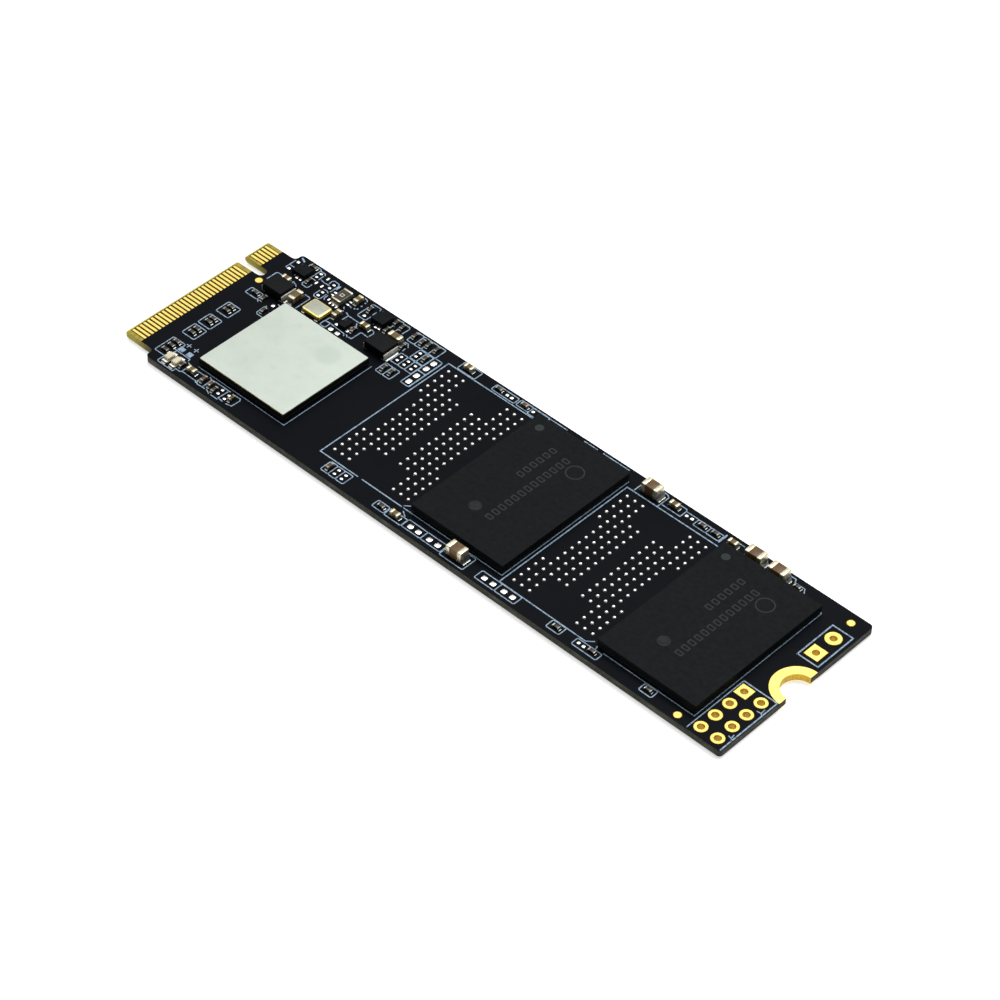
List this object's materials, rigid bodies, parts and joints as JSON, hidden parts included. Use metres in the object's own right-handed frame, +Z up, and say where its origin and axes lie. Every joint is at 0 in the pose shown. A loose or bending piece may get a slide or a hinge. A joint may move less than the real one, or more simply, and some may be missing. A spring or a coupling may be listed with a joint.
{
  "type": "solid state drive",
  "caption": "Bare rectangular circuit card with a gold edge connector and key notch at one end, a plated screw half hole at the other, and flat chip packages on one face.",
  "frame": {"origin": "centre of the card's underside, on the face it rests on", "axes": "+X along the card from the edge connector to the screw end, +Y across the card towards the side with the key notch, +Z up out of the component side"},
  "size_m": [0.08, 0.022, 0.0021],
  "materials": {
    "solder_mask": "satin black solder mask with a faint blue tint",
    "silkscreen": "matt white ink, slightly blue",
    "gold": "hard gold plating, softly polished",
    "mould": "fine-grained black epoxy moulding compound",
    "substrate": "dark green package laminate",
    "silicon": "polished grey silicon",
    "solder": "bright tin solder and tinned terminals",
    "spreader": "matt nickel-plated copper, pale silver",
    "ceramic": "dark brown fired ceramic",
    "quartz": "clear polished quartz",
    "lid": "satin nickel-plated lid",
    "ferrite": "pressed black iron-powder core",
    "copper": "enamelled copper wire",
    "capacitor": "warm brown ceramic",
    "capacitor_pale": "pale brown ceramic",
    "led_resin": "cream translucent resin"
  },
  "bodies": {
    "root": {"circuit_board": "solder_mask", "edge_contacts_top_main": "gold", "edge_contacts_top_short": "gold", "edge_contacts_bottom_main": "gold", "edge_contacts_bottom_short": "gold", "mount_ring": "gold", "controller_solder_balls": "solder", "controller_substrate": "substrate", "controller_die": "silicon", "controller_mould_cap": "mould", "controller_heat_spreader": "spreader", "memory_1_solder_balls": "solder", "memory_1_substrate": "substrate", "memory_1_die_stack": "silicon", "memory_1_mould_cap": "mould", "memory_2_solder_balls": "solder", "memory_2_substrate": "substrate", "memory_2_die_stack": "silicon", "memory_2_mould_cap": "mould", "crystal_base": "ceramic", "crystal_blank": "quartz", "crystal_seal_ring": "gold", "crystal_lid": "lid", "inductor_1_core": "ferrite", "inductor_1_coil": "copper", "inductor_1_terminal_left": "solder", "inductor_1_terminal_right": "solder", "inductor_2_core": "ferrite", "inductor_2_coil": "copper", "inductor_2_terminal_left": "solder", "inductor_2_terminal_right": "solder", "converter_chip_1": "mould", "converter_chip_2": "mould", "load_switch_chip": "mould", "resettable_fuse": "ferrite", "capacitor_0805_1_body": "capacitor", "capacitor_0805_1_terminal_left": "solder", "capacitor_0805_1_terminal_right": "solder", "capacitor_0805_2_body": "capacitor", "capacitor_0805_2_terminal_left": "solder", "capacitor_0805_2_terminal_right": "solder", "capacitor_0805_3_body": "capacitor", "capacitor_0805_3_terminal_left": "solder", "capacitor_0805_3_terminal_right": "solder", "capacitor_0805_4_body": "capacitor", "capacitor_0805_4_terminal_left": "solder", "capacitor_0805_4_terminal_right": "solder", "capacitor_0603_1": "capacitor_pale", "capacitor_0603_2": "capacitor_pale", "capacitor_0402_1": "capacitor_pale", "capacitor_0402_2": "capacitor_pale", "capacitor_0402_3": "capacitor_pale", "capacitor_0402_4": "capacitor_pale", "capacitor_0402_5": "capacitor_pale", "capacitor_0402_6": "capacitor_pale", "capacitor_0402_7": "capacitor_pale", "capacitor_0402_8": "capacitor_pale", "capacitor_0402_9": "capacitor_pale", "status_led_1": "led_resin", "status_led_2": "led_resin"}
  },
  "joints": []
}
